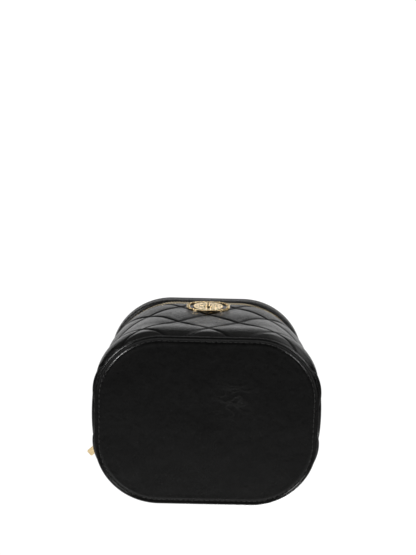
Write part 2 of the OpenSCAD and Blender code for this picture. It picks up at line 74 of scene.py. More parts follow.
# ---- sizes read from the CAD ----
(_, _, LID_Z0), (_, _, RIM_TOP), (ZIP_W, ZIP_D, _) = node_box("lid_rim")
(_, _, WALL_Z0), (_, _, WALL_TOP), _ = node_box("quilted_wall")
(_, STRIP_Y0, STRIP_Z0), _, (HINGE_W, _, _) = node_box("hinge_strip_lower")
(_, _, medal_z0), _, (MEDAL_W, _, MEDAL_H) = node_box("medallion")
MEDAL_Z = medal_z0 + MEDAL_H/2
(_, _, LEDGE_Z0), (_, _, LEDGE_TOP), _ = node_box("tray_ledge")
(_, _, TRAY_Z0), (_, _, TRAY_TOP), _ = node_box("tray_shell")
STRIP_Z1, LID_BOARD_TOP, TRAY_FLOOR, DIVIDER_TOP = (
    node_box(name)[1][2] for name in ("hinge_strip_upper", "lid_board", "tray_floor_pad", "tray_dividers"))
LID_PANEL_Z0 = node_box("lid_lining")[0][2]
MIRROR_W, MIRROR_D, _ = node_box("mirror_glass")[2]

# ---- sizes that no box shows, repeated from part.scad ----
ZIP_Z, ZIP_INSET, ZIP_SIDE, ZIP_R = 96.6, 3.0, 2.0, 50.5
BASE_W, BASE_D, BASE_R = ZIP_W + 2*ZIP_SIDE, ZIP_D + 2*ZIP_INSET, 43.8
CORNER_X, CORNER_Y = ZIP_W/2 - ZIP_R, ZIP_D/2 - ZIP_R  # centre of the zip's corner
SIDE_BOW, ROLL_H, BULGE, TUCK = 1.8, 10.0, -0.3, 3.2  # the wall's bow at the sides and its roll at the base
DIAMONDS, DIAMOND_H, CROSSING_Z, PUFF_H = 10, 42.0, 18.5, 2.0  # the wall's quilting
GROOVE_IN, MIRROR_R = 3.2, 16.0
STRIP_T, HINGE_Y, COVER_A0 = 1.2, 58.3, 99.0  # hinge strip, its axis, and the angle where the tapes start
LINING_IN, TRAY_OUT, TRAY_IN = 4.35, 4.85, 6.65  # insets from the zip's outline
TRAY_T, CROSS_Y, RING_W = 1.8, -1.3, 66.0  # the tray's wall, its cross divider and its ring compartment
DIVIDER_T = 1.6
DIVIDER_X = (RING_W + DIVIDER_T)/2  # the two dividers beside the ring compartment

# ---- sizes of the scene alone ----
PADDING, PRESSED = 0.8, 0.5  # share of PUFF_H that the wall keeps, and share of that under the medallion
FRONT_PULL, FRONT_SHARE = 2.2, 0.07  # seams lie nearer the front's middle, most at this share round from it
SEAM_REACH = 7.0  # how far a seam gathers the leather beside it
LID_OUT, LID_IN, LID_SQUARE = 0.3, 0.9, 4.6  # the lid is deeper, narrower and squarer than the zip's outline
ROLL_R, ROLL_Z = 1.65, 108.05  # the lid's piping
LID_DIAMOND = 38.0
QUILT_PITCH, QUILT_STITCH, QUILT_THREAD = 3.3, 2.5, 0.24
IMAGE_W, IMAGE_H = 416, 555


# ---- camera ----
def set_camera():
    """A camera placed from the outline, the zip and the quilting's crossings in the photograph."""
    distance, focal_px = 749.25, 1110.673
    elevation, yaw, roll = math.radians(21.562), math.radians(-0.608), math.radians(1.47)
    origin_px = 210.2, 422.8  # about where the frame's origin shows
    y_down = Vector((0, -1, 0))
    place = Vector((distance*math.sin(yaw)*math.cos(elevation), -distance*math.sin(elevation),
                    -distance*math.cos(elevation)*math.cos(yaw)))
    forward = -place.normalized()
    right = forward.cross(y_down).normalized()
    up = right.cross(forward)
    axis = (forward - right*((origin_px[0] - IMAGE_W/2)/focal_px)
            + up*((origin_px[1] - IMAGE_H/2)/focal_px)).normalized()
    level = axis.cross(y_down).normalized()
    upright = level.cross(axis)
    x_axis = level*math.cos(roll) + upright*math.sin(roll)
    y_axis = -level*math.sin(roll) + upright*math.cos(roll)
    camera = bpy.data.objects.new("camera", bpy.data.cameras.new("camera"))
    camera.data.sensor_fit = "VERTICAL"
    camera.data.sensor_height = 36.0
    camera.data.lens = camera.data.sensor_height*focal_px/IMAGE_H
    camera.data.clip_start = 0.01
    rows = [(x_axis[i], y_axis[i], -axis[i], place[i]*K) for i in range(3)]
    camera.matrix_world = Matrix(rows + [(0, 0, 0, 1)])
    scene.collection.objects.link(camera)
    scene.camera = camera


set_camera()


# ---- material helpers ----
class Nodes:
    """The node tree of a material or a world, with short ways to add and join nodes."""

    def __init__(self, owner):
        owner.use_nodes = True
        self.owner = owner
        self.tree = owner.node_tree

    def node(self, kind, props=None, **inputs):
        """Adds a node. An input goes by its name, or by its number as i0, i1 and so on."""
        n = self.tree.nodes.new("ShaderNode" + kind)
        for key, value in (props or {}).items():
            setattr(n, key, value)
        for key, value in inputs.items():
            numbered = key[0] == "i" and key[1:].isdigit()
            self.put(n.inputs[int(key[1:]) if numbered else key.replace("_", " ")], value)
        return n

    def put(self, socket, value):
        """Joins a socket to another, or gives it a value."""
        if isinstance(value, bpy.types.NodeSocket):
            self.tree.links.new(value, socket)
        else:
            socket.default_value = value

    def coords(self, kind="Object"):
        return self.node("TexCoord").outputs[kind]

    def mapped(self, vector, **inputs):
        return self.node("Mapping", Vector=vector, **inputs).outputs[0]

    def math(self, op, a, b=0.0, c=0.0, clamp=False):
        return self.node("Math", {"operation": op, "use_clamp": clamp}, i0=a, i1=b, i2=c).outputs[0]

    def ramp(self, value, low, high, a=0.0, b=1.0, smooth=False):
        """Maps low..high to a..b."""
        kind = "SMOOTHSTEP" if smooth else "LINEAR"
        return self.node("MapRange", {"interpolation_type": kind}, Value=value, From_Min=low, From_Max=high,
                         To_Min=a, To_Max=b).outputs[0]

    def noise(self, vector, scale, detail=3.0, rough=0.5, distort=0.0):
        return self.node("TexNoise", Vector=vector, Scale=scale, Detail=detail, Roughness=rough,
                         Distortion=distort).outputs[0]

    def mix(self, factor, a, b):
        """A blend of two colours."""
        a, b = ((*c, 1) if isinstance(c, tuple) else c for c in (a, b))
        return self.node("Mix", {"data_type": "RGBA"}, Factor=factor, i6=a, i7=b).outputs[2]

    def bump(self, height, distance_mm, strength=1.0, normal=None):
        n = self.node("Bump", Height=height, Distance=distance_mm*K, Strength=strength)
        if normal is not None:
            self.put(n.inputs["Normal"], normal)
        return n.outputs[0]

    def set(self, **inputs):
        """Fills the shader's sockets and returns the material."""
        for key, value in inputs.items():
            socket = self.tree.nodes["Principled BSDF"].inputs[key.replace("_", " ")]
            self.put(socket, (*value, 1) if isinstance(value, tuple) and socket.type == "RGBA" else value)
        return self.owner


def new_material(name):
    return Nodes(bpy.data.materials.new(name))


def darker(colour, share):
    return tuple(share*c for c in colour)


def leather(name, dark, light, rough, grain, depth, wrinkle=0.06, shaded_creases=False, worn=False, ior=1.5):
    """Fine-grained leather: pebbles with valleys between them, pores and soft wrinkles; with shaded_creases,
    painted shade darkens the seams' grooves.
    """
    m = new_material(name)
    obj = m.coords()
    # the pebbles' own coordinates: the piece's, multiplied and shifted by noise
    stretch, shift = (m.node("TexNoise", Vector=obj, Scale=v).outputs["Color"] for v in (900.0, 700.0))
    shift = m.node("VectorMath", {"operation": "SCALE"}, i0=shift, Scale=0.0006).outputs[0]
    warped = m.node("VectorMath", {"operation": "MULTIPLY_ADD"}, i0=obj, i1=stretch, i2=shift).outputs[0]
    to_edge = m.node("TexVoronoi", {"feature": "DISTANCE_TO_EDGE"}, Vector=warped, Scale=1000.0/grain)
    pebble = m.ramp(to_edge.outputs["Distance"], 0.0, 0.28, smooth=True)
    pores = m.noise(obj, 2600.0, 4.0, 0.6)
    folds = m.noise(obj, 130.0, 4.0, 0.55, 0.6)
    normal = m.bump(folds, wrinkle*8, 0.35)
    normal = m.bump(m.math("MULTIPLY_ADD", pores, 0.35, pebble), depth, 1.0, normal)
    colour = m.mix(m.ramp(m.noise(obj, 45.0, 3.0, 0.6), 0.3, 0.75), dark, light)
    colour = m.mix(m.math("MULTIPLY", m.ramp(pebble, 1.0, 0.0), 0.6), colour, darker(dark, 0.35))
    roughness = m.ramp(m.noise(obj, 260.0, 4.0, 0.65), 0.25, 0.8, rough - 0.07, rough + 0.1)
    roughness = m.math("ADD", roughness, m.ramp(pebble, 0.0, 0.5, 0.14, 0.0))
    if shaded_creases:
        near = m.node("Attribute", {"attribute_name": "crease"}).outputs["Fac"]
        # painted shade: the colour darkens towards near black along the crease attribute, in the seams'
        # grooves where shade falls
        colour = m.mix(m.ramp(near, 0.7, 0.9), colour, darker(dark, 0.2))
        gather = m.noise(obj, 420.0, 2.0, 0.5, 0.6)
        normal = m.bump(m.math("MULTIPLY", gather, m.ramp(near, 0.1, 0.9)), 0.03, 0.8, normal)
    if worn:
        colour, normal = wear(m, obj, colour, normal)
    return m.set(Base_Color=colour, Roughness=roughness, Normal=normal, IOR=ior)


def wear(m, obj, colour, normal):
    """The base's wear: faint rubbed streaks from side to side and a few short creases near the middle."""
    rubbed = m.noise(m.mapped(obj, Scale=(0.12, 1.0, 1.0)), 900.0, 3.0, 0.6)
    away = m.node("VectorMath", {"operation": "DISTANCE"}, i0=obj, i1=(0.018, -0.017, 0.0)).outputs["Value"]
    fold = m.noise(m.mapped(obj, Scale=(0.45, 1.0, 1.0), Rotation=(0, 0, 0.25)), 150.0, 2.0, 0.5, 0.8)
    off_fold = m.math("MULTIPLY", m.math("ABSOLUTE", m.math("SUBTRACT", fold, 0.5)), 16.0)
    line = m.math("SUBTRACT", 1.0, off_fold, clamp=True)
    line = m.math("MULTIPLY", line, m.ramp(away, 0.004, 0.019, 1.0, 0.0))
    pale = m.math("ADD", m.ramp(rubbed, 0.4, 0.75, 0.0, 0.16), m.math("MULTIPLY", line, 0.6))
    height = m.math("MULTIPLY_ADD", line, 1.0, m.math("MULTIPLY", rubbed, 0.06))
    return m.mix(pale, colour, (0.009, 0.009, 0.0086)), m.bump(height, 0.12, 0.7, normal)


def suede(name, dark, light, nap=1.0):
    """Brushed cloth: a soft nap that lies in patches, with a pale sheen at grazing angles."""
    m = new_material(name)
    obj = m.coords()
    fibres = m.noise(obj, 3200.0, 3.0, 0.7, 0.8)
    patch = m.noise(obj, 60.0, 3.0, 0.6, 1.5)
    streak = m.noise(m.mapped(obj, Scale=(1.0, 1.0, 0.25)), 480.0, 3.0, 0.6)
    tone = m.math("ADD", m.math("MULTIPLY", m.ramp(patch, 0.35, 0.7), 0.65), m.math("MULTIPLY", streak, 0.4),
                  clamp=True)
    normal = m.bump(patch, 0.5, 0.25, m.bump(fibres, 0.12*nap, 0.9))
    return m.set(Base_Color=m.mix(tone, dark, light), Roughness=m.ramp(fibres, 0.2, 0.8, 0.8, 0.98),
                 Normal=normal, Sheen_Weight=0.45, Sheen_Roughness=0.4, Sheen_Tint=(1.0, 0.75, 0.75),
                 Specular_IOR_Level=0.2)


def metal(name, colour, deep, rough=0.16, edge=0.12, recess_shade=0.0):
    """Plated metal: soft edges, hairline scratches, a duller tone in patches and painted shade darkening its
    recesses.
    """
    m = new_material(name)
    obj = m.coords()
    haze = m.noise(obj, 240.0, 4.0, 0.6)
    scratch = m.noise(m.mapped(obj, Scale=(9.0, 0.6, 1.0), Rotation=(0.3, 0.5, 0.4)), 900.0, 3.0, 0.7)
    line = m.ramp(scratch, 0.56, 0.66, smooth=True)
    bevel = m.node("Bevel", {"samples": 4}, Radius=edge*K).outputs[0]
    roughness = m.ramp(haze, 0.3, 0.75, rough - 0.05, rough + 0.09)
    roughness = m.math("ADD", roughness, m.math("MULTIPLY", line, 0.08))
    tone = m.mix(m.ramp(haze, 0.35, 0.75), colour, deep)
    if recess_shade:
        # painted shade: ambient occlusion darkens the colour towards dark brown in the recesses
        occlusion_shade = m.node("AmbientOcclusion", {"samples": 6}, Distance=1.0*K).outputs["AO"]
        tone = m.mix(m.ramp(occlusion_shade, 0.92, 0.45, 0.0, recess_shade), tone, tuple(0.15*c*c for c in deep))
    return m.set(Base_Color=tone, Metallic=1.0, Roughness=roughness,
                 Normal=m.bump(scratch, 0.006, 0.5, bevel))


def woven(name, dark, light, pitch=0.55, ribbed=False):
    """Narrow woven tape: fine warp and weft laid along the piece's own length."""
    m = new_material(name)
    uv = m.node("SeparateXYZ", Vector=m.coords("UV"))
    u = m.math("MULTIPLY", uv.outputs[0], 2*math.pi/pitch)
    v = m.math("MULTIPLY", uv.outputs[1], 2*math.pi/(pitch*(1.0 if ribbed else 1.15)))
    if ribbed:
        weave = m.math("ABSOLUTE", m.math("SINE", m.math("MULTIPLY", u, 0.5)))
        weave = m.math("MULTIPLY_ADD", m.math("SINE", m.math("MULTIPLY", v, 4.0)), 0.12, weave)
    else:
        over = m.math("SINE", m.math("ADD", u, v))
        under = m.math("SINE", m.math("SUBTRACT", u, v))
        side = m.math("SINE", m.math("MULTIPLY", v, 0.25))
        weave = m.node("Mix", Factor=m.math("GREATER_THAN", side, 0.0), i2=over, i3=under).outputs[0]
    fuzz = m.noise(m.coords(), 4200.0, 2.0)
    height = m.math("MULTIPLY_ADD", fuzz, 0.5, weave)
    return m.set(Base_Color=m.mix(m.ramp(height, -0.6, 1.3), dark, light), Normal=m.bump(height, 0.07, 0.9),
                 Roughness=m.ramp(fuzz, 0.2, 0.8, 0.7, 0.95), Sheen_Weight=0.2, Specular_IOR_Level=0.3)


def thread(name, dark, light):
    """Waxed sewing thread with its twist."""
    m = new_material(name)
    ply = m.node("TexWave", {"bands_direction": "DIAGONAL"}, Vector=m.coords(), Scale=520.0, Distortion=3.0,
                 Detail=2.0).outputs["Fac"]
    return m.set(Base_Color=m.mix(ply, dark, light), Roughness=m.ramp(ply, 0.0, 1.0, 0.6, 0.42),
                 Normal=m.bump(ply, 0.06, 0.8), Sheen_Weight=0.1)


def fibreboard():
    m = new_material("fibreboard")
    flecks = m.noise(m.mapped(m.coords(), Scale=(1.0, 1.0, 4.0)), 900.0, 5.0, 0.7, 1.0)
    return m.set(Base_Color=m.mix(m.ramp(flecks, 0.3, 0.7), (0.26, 0.19, 0.12), (0.45, 0.35, 0.24)),
                 Roughness=m.ramp(flecks, 0.2, 0.8, 0.75, 0.92), Normal=m.bump(flecks, 0.08, 0.8))


def silvering():
    """Mirror glass with a little dust."""
    m = new_material("silvered_glass")
    dust = m.noise(m.coords(), 1500.0, 3.0, 0.7)
    return m.set(Base_Color=m.mix(m.ramp(dust, 0.3, 0.7), (0.86, 0.88, 0.88), (0.8, 0.83, 0.83)),
                 Metallic=1.0, Roughness=m.ramp(dust, 0.45, 0.75, 0.015, 0.06), Coat_Weight=0.5,
                 Coat_Roughness=0.02, Normal=m.node("Bevel", {"samples": 4}, Radius=0.6*K).outputs[0])


BLACK, SOFT_BLACK = (0.0036, 0.0036, 0.0034), (0.0062, 0.0061, 0.0058)
M_QUILT = leather("quilted_leather", BLACK, SOFT_BLACK, 0.24, grain=0.8, depth=0.016, wrinkle=0.04,
                  shaded_creases=True, ior=1.36)
M_BASE = leather("smooth_leather", (0.0023, 0.0023, 0.0022), (0.0037, 0.0037, 0.0036), 0.17, grain=0.55,
                 depth=0.007, wrinkle=0.05, shaded_creases=True, worn=True)
M_TRIM = leather("trim_leather", BLACK, SOFT_BLACK, 0.26, grain=0.7, depth=0.018, ior=1.38)
M_PIPING = leather("piping_leather", BLACK, SOFT_BLACK, 0.26, grain=0.6, depth=0.016, ior=1.38)
M_SUEDE = suede("suede_lining", (0.07, 0.006, 0.011), (0.15, 0.018, 0.03))
M_PAD = suede("suede_padding", (0.085, 0.008, 0.014), (0.18, 0.024, 0.038), 1.3)
M_GOLD = metal("gold_plate", (1.0, 0.8, 0.47), (0.9, 0.68, 0.37), 0.14, 0.16, recess_shade=0.95)
M_TEETH = metal("gold_teeth", (1.0, 0.84, 0.54), (0.92, 0.72, 0.42), 0.14, 0.05)
M_TAPE = woven("zip_tape", (0.004, 0.004, 0.0042), (0.016, 0.0155, 0.016))
M_RIBBON = woven("ribbon", (0.006, 0.006, 0.006), (0.024, 0.023, 0.023), 0.8, ribbed=True)
M_THREAD = thread("black_thread", (0.006, 0.006, 0.006), (0.028, 0.027, 0.026))
CAD_MATERIAL = {
    "base_leather": M_BASE, "quilted_leather": M_QUILT, "trim_leather": M_TRIM, "board": fibreboard(),
    "lining": M_SUEDE, "zip_tape": M_TAPE, "gold": M_GOLD, "mirror": silvering(), "tray_covering": M_SUEDE,
    "tray_pad": M_PAD, "ribbon": M_RIBBON,
}


def dress_nodes():
    """Gives every CAD node the material of its slot; the small zip parts get the brighter plating."""
    slot_of = {part["node"]: part["material_slot"] for part in frame["record"]["subparts"]}
    for name, node in frame["nodes"].items():
        node.data.materials.clear()
        node.data.materials.append(CAD_MATERIAL[slot_of[name]])
    for name in ("lower_zip_teeth", "upper_zip_teeth", "zip_end_stops"):
        frame["nodes"][name].data.materials[0] = M_TEETH


dress_nodes()


# ---- mesh helpers ----
def outline_len(w, d, r):
    return 2*(w + d) - 8*r + 2*math.pi*r


def outline(w, d, r, s):
    """Points of a rounded rectangle and the angles they face, at lengths s from the middle of the back."""
    s = np.asarray(s, float)
    a, b, quarter = w/2 - r, d - 2*r, math.pi*r/2
    ends = np.cumsum([a, quarter, b, quarter, 2*a, quarter, b, quarter, a])
    s = np.mod(s, ends[-1])
    stretch = np.minimum(np.searchsorted(ends, s, side="right"), 8)
    along = s - np.concatenate([[0], ends[:-1]])[stretch]
    sides = {0: (0, d/2, -1, 0, 90), 2: (-w/2, d/2 - r, 0, -1, 180), 4: (-a, -d/2, 1, 0, 270),
             6: (w/2, r - d/2, 0, 1, 360), 8: (a, d/2, -1, 0, 450)}
    corners = {1: (-a, d/2 - r, 90), 3: (-a, r - d/2, 180), 5: (a, r - d/2, 270), 7: (a, d/2 - r, 360)}
    x, y, facing = (np.zeros(s.shape) for _ in range(3))
    for k, (x0, y0, dx, dy, angle) in sides.items():
        on = stretch == k
        x[on], y[on], facing[on] = x0 + dx*along[on], y0 + dy*along[on], math.radians(angle)
    for k, (cx, cy, angle) in corners.items():
        on = stretch == k
        turn = np.radians(angle) + along[on]/r
        x[on], y[on], facing[on] = cx + r*np.cos(turn), cy + r*np.sin(turn), turn
    return x, y, facing


def ring(x, y, facing, out, z):
    """A row of points that stand out mm outside an outline's points, at height z."""
    return np.stack([x + out*np.cos(facing), y + out*np.sin(facing), np.full(len(x), z)], 1)


def lengths(profile):
    """How far along a profile each of its points lies."""
    return np.concatenate([[0], np.cumsum(np.hypot(*np.diff(np.asarray(profile, float), axis=0).T))])


def arc(cx, cy, r, a0, a1, n=7):
    """Points on an arc, for profiles."""
    a = np.radians(np.linspace(a0, a1, n))
    return [(cx + r*math.cos(t), cy + r*math.sin(t)) for t in a]


def strap(out_face, in_face, z0, z1, r):
    """A closed profile of a strap with rounded edges: outer face up, inner face down."""
    return (arc(out_face - r, z0 + r, r, 270, 360, 5) + arc(out_face - r, z1 - r, r, 0, 90, 5)
            + arc(in_face + r, z1 - r, r, 90, 180, 5) + arc(in_face + r, z0 + r, r, 180, 270, 5))


def waves(x, y, seed, scale, count=10):
    """Smooth seeded unevenness between about -1 and 1; scale is its size in mm."""
    rng = np.random.default_rng(seed)
    out = np.zeros(np.broadcast(x, y).shape)
    for _ in range(count):
        a, f, p = rng.uniform(0, 2*math.pi), rng.uniform(0.5, 1.6)/scale, rng.uniform(0, 2*math.pi)
        out += np.sin(2*math.pi*f*(x*math.cos(a) + y*math.sin(a)) + p)
    return out/math.sqrt(count/2)/2


def piece(name, points, faces, uvs, body, slot, mat, attrs=None, nodes=(), pad=None):
    """Makes one piece from points in mm, puts it on its body and hides the CAD nodes that it stands for."""
    mesh = bpy.data.meshes.new(name)
    mesh.from_pydata((np.asarray(points, float)*K).tolist(), [], faces)
    if uvs is not None:
        layer = mesh.uv_layers.new(name="UVMap")
        layer.data.foreach_set("uv", np.asarray(uvs, np.float32).ravel())
    for key, value in (attrs or {}).items():
        values = np.asarray(value, np.float32).ravel()
        mesh.attributes.new(key, "FLOAT", "POINT").data.foreach_set("value", values)
    mesh.polygons.foreach_set("use_smooth", [True]*len(mesh.polygons))
    mesh.materials.append(mat)
    mesh.update()
    o = bpy.data.objects.new(name, mesh)
    scene.collection.objects.link(o)
    if body:
        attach(o, body)
    if nodes:
        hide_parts(*nodes)
    return o


def grid(name, rows, S, T, body, slot, mat, wrap_u=True, wrap_v=False, cap=None, flip=False, **kw):
    """A piece from rows of points. S and T are the lengths along and across it, for its weave.

    wrap_u closes each row and wrap_v joins the last row to the first. cap is a point that closes the last.
    """
    P = np.stack(rows)
    nv, nu = P.shape[:2]
    j, i = np.mgrid[0:nv if wrap_v else nv - 1, 0:nu if wrap_u else nu - 1]
    j2, i2 = (j + 1) % nv, (i + 1) % nu
    quads = np.stack([j*nu + i, j*nu + i2, j2*nu + i2, j2*nu + i], -1).reshape(-1, 4)
    u0, v0 = S[i], T[j]
    u1 = np.where(i + 1 < nu, S[i2], S[i] + (S[1] - S[0]))
    v1 = np.where(j + 1 < nv, T[j2], T[j] + (T[-1] - T[-2]))
    uv = np.stack([np.stack(c, -1) for c in ((u0, v0), (u1, v0), (u1, v1), (u0, v1))], -2).reshape(-1, 4, 2)
    if flip:
        quads, uv = quads[:, ::-1], uv[:, ::-1]
    points, faces, uvs = P.reshape(-1, 3), quads.tolist(), uv.reshape(-1, 2)
    attrs = {k: np.broadcast_to(v, (nv, nu)).ravel() for k, v in kw.pop("attrs", {}).items()}
    if cap is not None:
        last = (nv - 1)*nu
        fan = [[last + a, last + (a + 1) % nu, nv*nu] for a in range(nu)]
        faces += [f[::-1] for f in fan] if flip else fan
        points = np.vstack([points, [cap]])
        uvs = np.vstack([uvs, np.zeros((3*nu, 2))])
        attrs = {k: np.append(v, v[-1]) for k, v in attrs.items()}
    return piece(name, points, faces, uvs, body, slot, mat, attrs=attrs, **kw)


def band(name, profile, body, slot, mat, size=(ZIP_W, ZIP_D, ZIP_R), n=360, s=None, closed=False, **kw):
    """Sweeps a profile of (outwards, z) points round an outline, or along the lengths s of it."""
    wrap = s is None
    s = np.arange(n)*outline_len(*size)/n if wrap else np.asarray(s, float)
    at = outline(*size, s)
    return grid(name, [ring(*at, out, z) for out, z in profile], s, lengths(profile), body, slot, mat,
                wrap_u=wrap, wrap_v=closed, **kw)


def panel(name, size, n, scales, height, middle, body, slot, mat, **kw):
    """A panel that fills an outline: rings shrunk by the scales, at height(x, y, scale), round a middle."""
    s = np.arange(n)*outline_len(*size)/n
    x, y, _ = outline(*size, s)
    rows = [np.stack([x*f, y*f, height(x*f, y*f, f)], 1) for f in scales]
    return grid(name, rows, s, np.arange(float(len(rows))), body, slot, mat, cap=(0, 0, middle), **kw)


def inset(by):
    """The zip's outline, drawn in."""
    return ZIP_W - 2*by, ZIP_D - 2*by, ZIP_R - by


def stitches(name, centres, along, outward, length, radius, body, slot, mat):
    """Sewn stitches: an arched bit of thread at each centre, with its ends pulled in."""
    c, t, n = (np.asarray(v, float) for v in (centres, along, outward))
    t = t/np.linalg.norm(t, axis=1, keepdims=True)
    n = n - t*np.sum(n*t, axis=1, keepdims=True)
    n = n/np.linalg.norm(n, axis=1, keepdims=True)
    b = np.cross(n, t)
    sides = 8
    # place along the stitch, thickness and height of each ring of points
    rings = [(-1.0, 0.3, -1.1), (-0.86, 0.8, -0.2), (-0.5, 1.0, 0.35), (0.0, 1.05, 0.5), (0.5, 1.0, 0.35),
             (0.86, 0.8, -0.2), (1.0, 0.3, -1.1)]
    turns = [2*math.pi*k/sides for k in range(sides)]
    local = np.array([(place*length/2, thick*radius*math.cos(a), radius*(height + thick*math.sin(a)))
                      for place, thick, height in rings for a in turns])
    points = (c[:, None, :] + local[None, :, 0:1]*t[:, None, :] + local[None, :, 1:2]*b[:, None, :]
              + local[None, :, 2:3]*n[:, None, :]).reshape(-1, 3)
    one = []
    for j in range(len(rings) - 1):
        for k in range(sides):
            k2 = (k + 1) % sides
            one.append([j*sides + k, j*sides + k2, (j + 1)*sides + k2, (j + 1)*sides + k])
    faces = (np.arange(len(c))[:, None, None]*len(local) + np.array(one)[None]).reshape(-1, 4).tolist()
    return piece(name, points, faces, None, body, slot, mat)


def stitch_line(name, size, inside, z, normal, body, slot, pitch=3.4, length=2.6, radius=0.22):
    """A row of stitches round an outline. normal is "out" on a side face, +1 on a top, -1 on an underside."""
    size = size[0] - 2*inside, size[1] - 2*inside, size[2] - inside
    total = outline_len(*size)
    count = int(total/pitch)
    x, y, a = outline(*size, (np.arange(count) + 0.5)*total/count)
    zero = np.zeros(count)
    along = np.stack([-np.sin(a), np.cos(a), zero], 1)
    outward = np.stack([np.cos(a), np.sin(a), zero], 1)
    if normal != "out":
        outward = np.tile([0.0, 0.0, normal], (count, 1))
    return stitches(name, np.stack([x, y, zero + z], 1), along, outward, length, radius, body, slot, M_THREAD)


# ---- quilting ----
def puff(p, q):
    """Height of the padding over its seams; p and q count diamonds across and up."""
    return PUFF_H*np.sqrt(np.abs(np.sin(np.pi*(p + q))*np.sin(np.pi*(p - q))))


def near_seam(p, q, diamond):
    """1 on a seam, falling to 0 at SEAM_REACH from it."""
    d1 = np.abs((p + q + 0.5) % 1 - 0.5)
    d2 = np.abs((p - q + 0.5) % 1 - 0.5)
    return np.clip(1 - np.minimum(d1, d2)*diamond/math.sqrt(2)/SEAM_REACH, 0, 1)


def front_pull(u):
    """How far the point at u = 0..1 round the case is drawn towards the middle of the front, at u = 0.5."""
    v = (u - 0.5)/FRONT_SHARE
    return FRONT_PULL*v*np.exp(1 - np.abs(v))


def seam_out(z):
    """How far the wall's seams stand outside the line from the base's outline to the zip's."""
    up = 1 - np.clip((z - WALL_Z0)/(ROLL_H - WALL_Z0), 0, 1)
    low = (BULGE + TUCK)*np.sqrt(1 - up**2) - TUCK
    high = BULGE*(WALL_TOP - z)/(WALL_TOP - ROLL_H) - 0.1*(z - ROLL_H)/(WALL_TOP - ROLL_H)
    return np.where(z < ROLL_H, low, high)


def wall_base(u, z):
    """The wall's seam surface at u = 0..1 round the case and height z: x, y, angle faced and length round."""
    t = np.clip((z - WALL_Z0)/(WALL_TOP - WALL_Z0), 0, 1)
    out, bow = float(seam_out(np.float64(z))), 4*SIDE_BOW*math.sqrt(t)*(1 - math.sqrt(t))
    size = BASE_W + 2*(out - ZIP_SIDE*t + bow), BASE_D + 2*(out - ZIP_INSET*t), BASE_R + (ZIP_R - BASE_R)*t
    total = outline_len(*size)
    return *outline(*size, u*total - front_pull(u)), u*total


def belly(facing, z):
    """How far the wall's lower part swells before it rolls under the base's rim, most at front and back."""
    rise = np.sin(np.pi/2*np.clip((z - WALL_Z0 - 0.5)/13, 0, 1))
    fall = np.cos(np.pi/2*np.clip((z - WALL_Z0 - 13.5)/18, 0, 1))**2
    return (0.6 + 0.9*np.sin(facing)**2)*rise*fall


def fullness(x, y, z):
    """Share of the padding's height: less at the edges, under the medallion and behind the hinge strip."""
    f = np.clip((WALL_TOP - z)/12, 0, 1)**0.8*np.clip((z - WALL_Z0)/6, 0, 1)**0.6
    behind = (y > 0) & (z > STRIP_Z0 - 6) & (np.abs(x) < ZIP_W/2 - 16)
    far = np.sqrt((2*x/MEDAL_W)**2 + (2*(z - MEDAL_Z)/MEDAL_H)**2)
    under = np.where(y < 0, 1 - (1 - PRESSED)*np.clip((1.5 - far)/0.35, 0, 1), 1)
    return f*under*np.where(behind, np.clip((STRIP_Z0 - 1 - z)/5, 0, 1), 1)


def quilted_wall():
    n = DIAMONDS*80
    u = np.arange(n)/n
    edge = 0.6
    rows, crease = [], []
    for z in np.concatenate([[2.3], np.linspace(WALL_Z0, 6, 8)[:-1], np.linspace(6, WALL_TOP - edge, 168)]):
        x, y, facing, s = wall_base(u, z)
        p, q = u*DIAMONDS - DIAMONDS/2, (z - CROSSING_Z)/DIAMOND_H
        f = fullness(x, y, z)
        h = PADDING*puff(p, q)*f + belly(facing, z)
        near = near_seam(p, q, DIAMOND_H)
        # the leather gathers beside the stitches, and the padding isn't quite even
        ripple = (np.sin((p + q)*np.pi*26 + 3*waves(s, z, 3, 30))
                  + np.sin((p - q)*np.pi*24 + 3*waves(s, z, 4, 30)))
        h = h + f*(0.012*ripple*near**2*(1 - near**8) + 0.12*waves(s, z, 1, 38)*(1 - near))
        h = h - 0.9*np.sqrt(f)*np.clip((near - 0.78)/0.22, 0, 1)**1.2
        rows.append(ring(x, y, facing, h, z))
        # the crease attribute marks the seams' grooves, where the leather's colour gets painted shade
        crease.append(near*np.clip(f*3, 0, 1))
    # the top edge turns in over the board, down to the zip's tape
    at = outline(ZIP_W, ZIP_D, ZIP_R, u*outline_len(ZIP_W, ZIP_D, ZIP_R) - front_pull(u))
    turned_in = arc(-edge, WALL_TOP - edge, edge, 10, 90, 5)
    turned_in += [(-1.1, WALL_TOP - 0.02), (-1.15, WALL_TOP - 2)]
    for out, z in turned_in:
        rows.append(ring(*at, out, z))
        crease.append(np.zeros(n))
    grid("quilted_leather_wall", rows, s, np.arange(len(rows))*0.55, "case", "quilted_leather", M_QUILT,
         nodes=["quilted_wall"], attrs={"crease": np.stack(crease)}, pad=0.8)


def seam_point(family, k, z):
    """Where seam k of a family stands at height z, and the angle that the wall faces there."""
    q = (z - CROSSING_Z)/DIAMOND_H
    u = ((k - family*q) + DIAMONDS/2) % DIAMONDS/DIAMONDS
    x, y, facing, _ = wall_base(np.array([u]), z)
    return x[0], y[0], facing[0]


